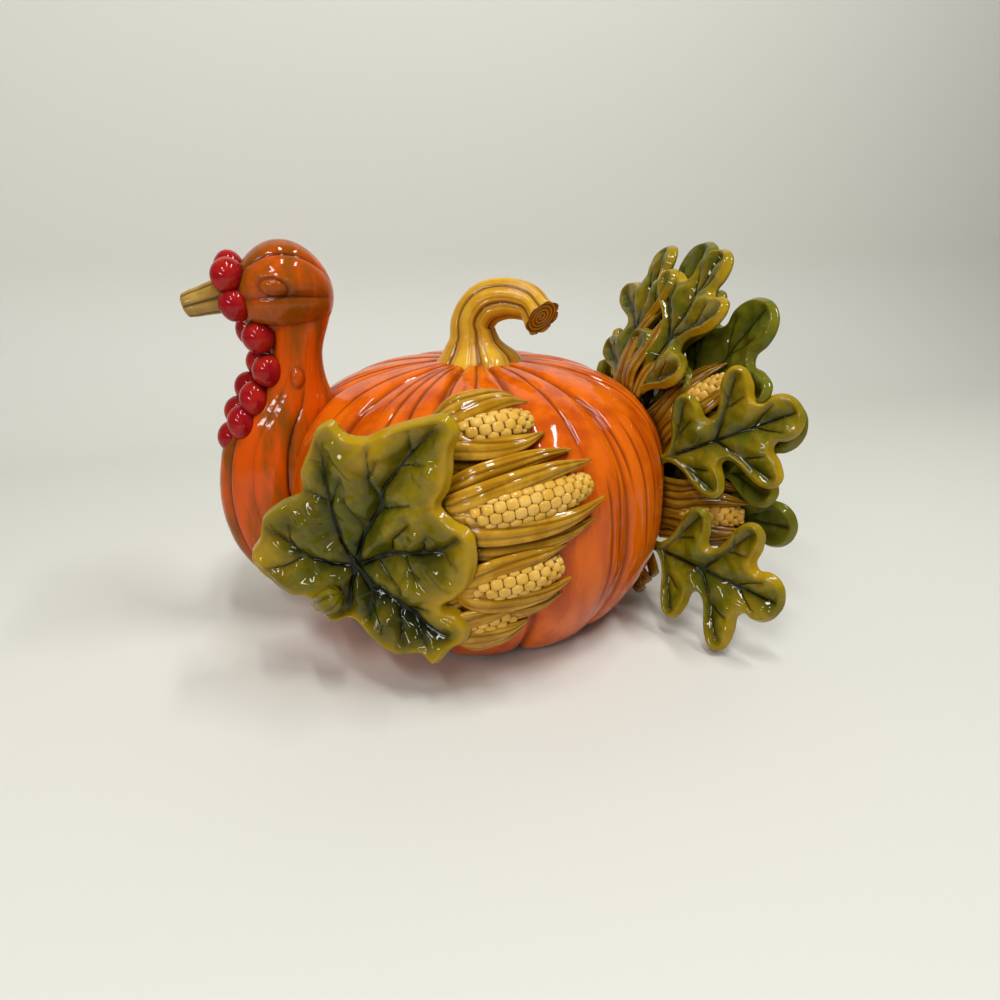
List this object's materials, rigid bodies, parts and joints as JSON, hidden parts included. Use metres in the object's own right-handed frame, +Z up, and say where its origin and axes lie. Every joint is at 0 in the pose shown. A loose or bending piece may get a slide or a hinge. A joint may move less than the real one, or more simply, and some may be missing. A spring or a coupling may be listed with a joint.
{
  "type": "turkey figure",
  "caption": "Glazed ceramic harvest turkey: ribbed pumpkin body, gourd neck and head, berry wattle, squash-leaf wings, corn ears and a fan of oak leaves as the tail; a standing centrepiece.",
  "frame": {"origin": "centre of the pumpkin's flat foot, on the surface it stands on", "axes": "+X toward the tail fan, -X toward the head, -Y the turkey's left side, +Z up"},
  "size_m": [0.3145, 0.2664, 0.2174],
  "materials": {
    "pumpkin_glaze": "glossy orange glaze",
    "gourd_glaze": "glossy amber glaze",
    "stem_glaze": "glossy golden glaze",
    "beak_glaze": "glossy pale gold glaze",
    "berry_glaze": "glossy crimson glaze",
    "leaf_glaze": "glossy olive glaze",
    "rear_leaf_glaze": "glossy dark green glaze",
    "cob_glaze": "glossy golden cream glaze",
    "husk_glaze": "glossy ochre glaze"
  },
  "bodies": {
    "root": {"pumpkin_body": "pumpkin_glaze", "pumpkin_stem": "stem_glaze", "head_gourd": "gourd_glaze", "neck_gourd": "gourd_glaze", "beak": "beak_glaze", "left_berry_1": "berry_glaze", "right_berry_1": "berry_glaze", "left_berry_2": "berry_glaze", "right_berry_2": "berry_glaze", "left_berry_3": "berry_glaze", "right_berry_3": "berry_glaze", "left_berry_4": "berry_glaze", "right_berry_4": "berry_glaze", "left_berry_5": "berry_glaze", "right_berry_5": "berry_glaze", "left_berry_6": "berry_glaze", "right_berry_6": "berry_glaze", "end_berry": "berry_glaze", "left_wing_leaf": "leaf_glaze", "right_wing_leaf": "leaf_glaze", "left_corn_cob_1": "cob_glaze", "right_corn_cob_1": "cob_glaze", "left_corn_cob_2": "cob_glaze", "right_corn_cob_2": "cob_glaze", "left_corn_cob_3": "cob_glaze", "right_corn_cob_3": "cob_glaze", "left_corn_cob_4": "cob_glaze", "right_corn_cob_4": "cob_glaze", "left_corn_husk_1": "husk_glaze", "right_corn_husk_1": "husk_glaze", "left_corn_husk_2": "husk_glaze", "right_corn_husk_2": "husk_glaze", "left_corn_husk_3": "husk_glaze", "right_corn_husk_3": "husk_glaze", "left_corn_husk_4": "husk_glaze", "right_corn_husk_4": "husk_glaze", "left_tail_leaf_front_1": "leaf_glaze", "right_tail_leaf_front_1": "leaf_glaze", "left_tail_leaf_front_2": "leaf_glaze", "right_tail_leaf_front_2": "leaf_glaze", "left_tail_leaf_front_3": "leaf_glaze", "right_tail_leaf_front_3": "leaf_glaze", "left_tail_cob_1": "cob_glaze", "right_tail_cob_1": "cob_glaze", "left_tail_cob_2": "cob_glaze", "right_tail_cob_2": "cob_glaze", "left_tail_husk_1": "husk_glaze", "right_tail_husk_1": "husk_glaze", "left_tail_husk_2": "husk_glaze", "right_tail_husk_2": "husk_glaze", "tail_husk_middle": "husk_glaze", "left_tail_husk_low": "husk_glaze", "right_tail_husk_low": "husk_glaze", "tail_leaf_rear_top": "rear_leaf_glaze", "left_tail_leaf_rear_1": "rear_leaf_glaze", "right_tail_leaf_rear_1": "rear_leaf_glaze", "left_tail_leaf_rear_2": "rear_leaf_glaze", "right_tail_leaf_rear_2": "rear_leaf_glaze", "left_tail_leaf_rear_3": "rear_leaf_glaze", "right_tail_leaf_rear_3": "rear_leaf_glaze"}
  },
  "joints": []
}
